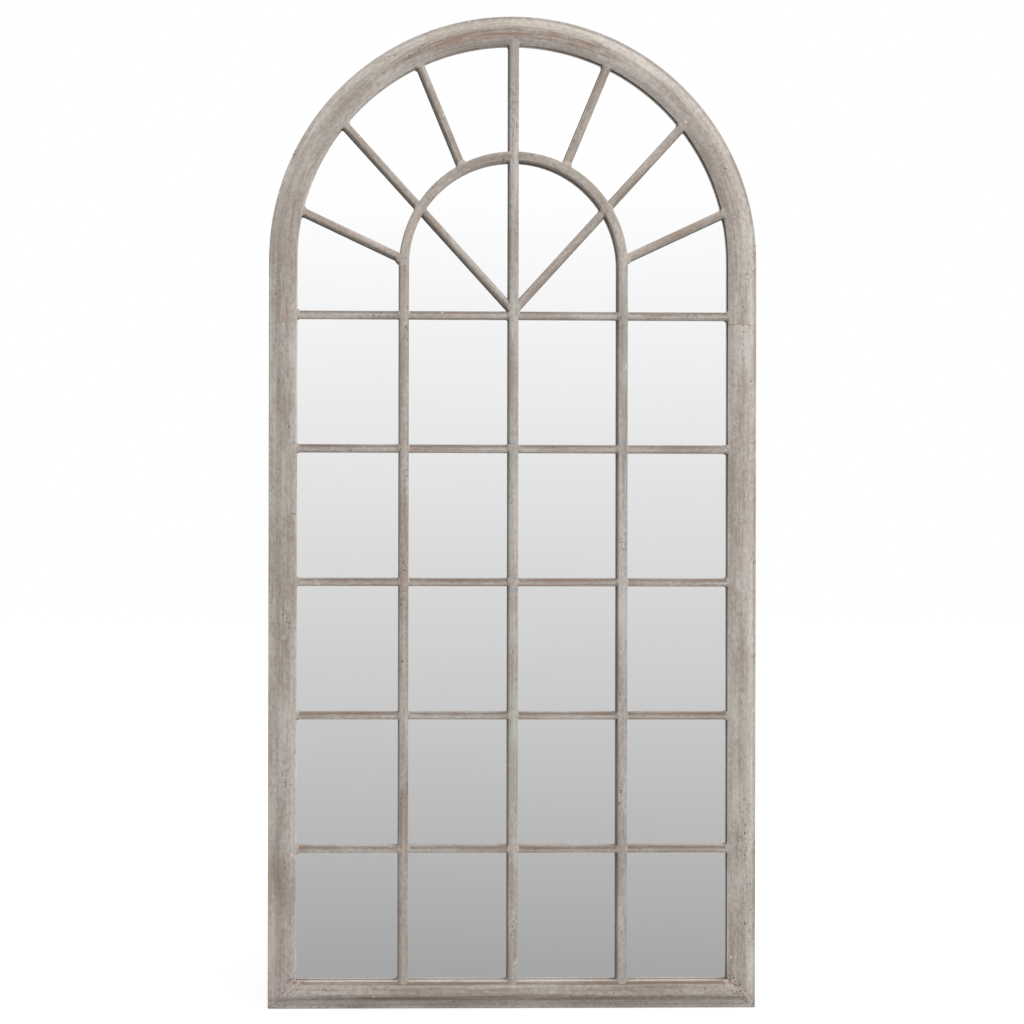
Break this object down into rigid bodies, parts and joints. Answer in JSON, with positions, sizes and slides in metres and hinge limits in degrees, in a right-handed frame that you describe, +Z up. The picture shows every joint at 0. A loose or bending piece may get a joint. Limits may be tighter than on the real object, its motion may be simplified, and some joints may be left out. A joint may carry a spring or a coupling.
{
  "type": "garden mirror",
  "caption": "Arch-topped mirror in a moulded limed-wood frame, with wooden glazing bars set out like a window with a fanlight, a back board and swinging strap hangers.",
  "frame": {"origin": "middle of the bottom edge, half way through the frame's depth", "axes": "+Z up, front of the mirror faces -Y, +X to the right seen from the front"},
  "size_m": [0.69, 0.036, 1.4],
  "materials": {
    "limed_wood": "softwood, limed grey-white over brown and rubbed back, matt",
    "mirror": "float glass silvered and painted on the back",
    "hardboard": "thin pressed fibre board, smooth, unpainted",
    "beech_dowel": "turned beech, glued",
    "screw_steel": "yellow zinc plated",
    "zinc_steel": "bright zinc plated"
  },
  "bodies": {
    "mirror_body": {"left_stile": "limed_wood", "right_stile": "limed_wood", "bottom_rail": "limed_wood", "arch_left": "limed_wood", "arch_crown": "limed_wood", "arch_right": "limed_wood", "centre_bar": "limed_wood", "left_bar": "limed_wood", "right_bar": "limed_wood", "inner_arch_left": "limed_wood", "inner_arch_right": "limed_wood", "cross_bar_row1_column1": "limed_wood", "cross_bar_row1_column2": "limed_wood", "cross_bar_row1_column3": "limed_wood", "cross_bar_row1_column4": "limed_wood", "cross_bar_row2_column1": "limed_wood", "cross_bar_row2_column2": "limed_wood", "cross_bar_row2_column3": "limed_wood", "cross_bar_row2_column4": "limed_wood", "cross_bar_row3_column1": "limed_wood", "cross_bar_row3_column2": "limed_wood", "cross_bar_row3_column3": "limed_wood", "cross_bar_row3_column4": "limed_wood", "cross_bar_row4_column1": "limed_wood", "cross_bar_row4_column2": "limed_wood", "cross_bar_row4_column3": "limed_wood", "cross_bar_row4_column4": "limed_wood", "cross_bar_row5_column1": "limed_wood", "cross_bar_row5_column2": "limed_wood", "cross_bar_row5_column3": "limed_wood", "cross_bar_row5_column4": "limed_wood", "low_spoke_left": "limed_wood", "diagonal_spoke_left": "limed_wood", "hub_ray_left": "limed_wood", "high_spoke_left": "limed_wood", "low_spoke_right": "limed_wood", "diagonal_spoke_right": "limed_wood", "hub_ray_right": "limed_wood", "high_spoke_right": "limed_wood", "mirror_glass": "mirror", "back_board": "hardboard", "leg_dowels": "beech_dowel", "crown_dowels": "beech_dowel", "corner_dowels": "beech_dowel", "back_board_screws": "screw_steel", "hanger_screws": "screw_steel", "hanger_strap_left": "zinc_steel", "hanger_strap_right": "zinc_steel"},
    "left_ring": {"hanger_ring_left": "zinc_steel"},
    "right_ring": {"hanger_ring_right": "zinc_steel"}
  },
  "joints": [
    {"name": "left_ring_swing", "type": "hinge", "parent": "mirror_body", "child": "left_ring", "pos_m": [-0.335, 0.0182, 1.041], "axis": [1, 0, 0], "range_deg": [0, 180]},
    {"name": "right_ring_swing", "type": "hinge", "parent": "mirror_body", "child": "right_ring", "pos_m": [0.335, 0.0182, 1.041], "axis": [1, 0, 0], "range_deg": [0, 180]}
  ]
}
